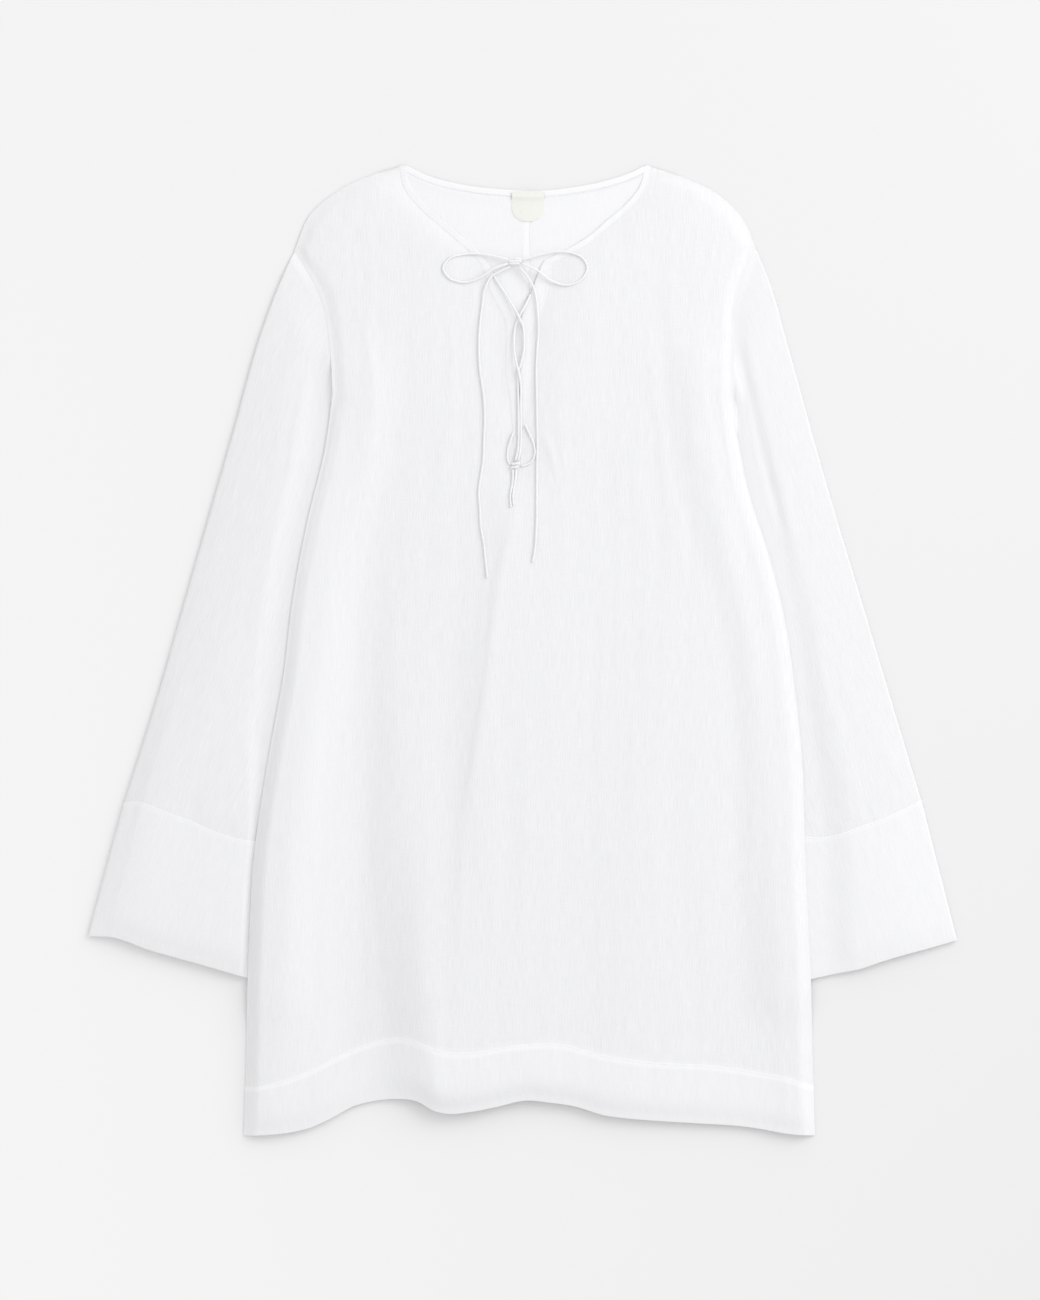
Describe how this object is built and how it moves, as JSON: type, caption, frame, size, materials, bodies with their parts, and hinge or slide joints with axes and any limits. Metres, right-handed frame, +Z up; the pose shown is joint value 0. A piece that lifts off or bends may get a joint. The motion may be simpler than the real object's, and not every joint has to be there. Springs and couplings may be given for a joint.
{
  "type": "beach dress",
  "caption": "A-line tunic beach dress of crinkled voile, laid flat: laced front slit with a tied bow, bound round neck, long wide sleeves with deep cuffs and a deep hem",
  "frame": {"origin": "bottom centre of the box round the garment, on the surface that it lies on", "axes": "+Z up from the surface, +Y from the hem towards the neck, +X to the right of someone who looks down on the dress with the neck away from them"},
  "size_m": [0.782, 0.873, 0.0215],
  "materials": {
    "voile": "semi-sheer white cotton voile with fine crinkles along the length",
    "double_voile": "the same voile doubled, more opaque",
    "cord": "thin rolled cotton cord",
    "label": "ivory woven tape, bare"
  },
  "bodies": {
    "root": {"front_panel": "voile", "back_left_panel": "voile", "back_right_panel": "voile", "left_sleeve": "voile", "right_sleeve": "voile", "left_cuff": "double_voile", "right_cuff": "double_voile", "front_hem": "double_voile", "back_hem": "double_voile", "neck_binding_back": "double_voile", "neck_binding_left": "double_voile", "neck_binding_right": "double_voile", "slit_binding_left": "double_voile", "slit_binding_right": "double_voile", "neck_label": "label", "lace_left": "cord", "lace_right": "cord", "bow_knot": "cord", "bow_loop_left": "cord", "bow_loop_right": "cord", "bow_tail_left": "cord", "bow_tail_right": "cord", "lower_knot": "cord", "lower_loop_left": "cord", "lower_loop_right": "cord", "lower_tail_left": "cord", "lower_tail_right": "cord"}
  },
  "joints": []
}
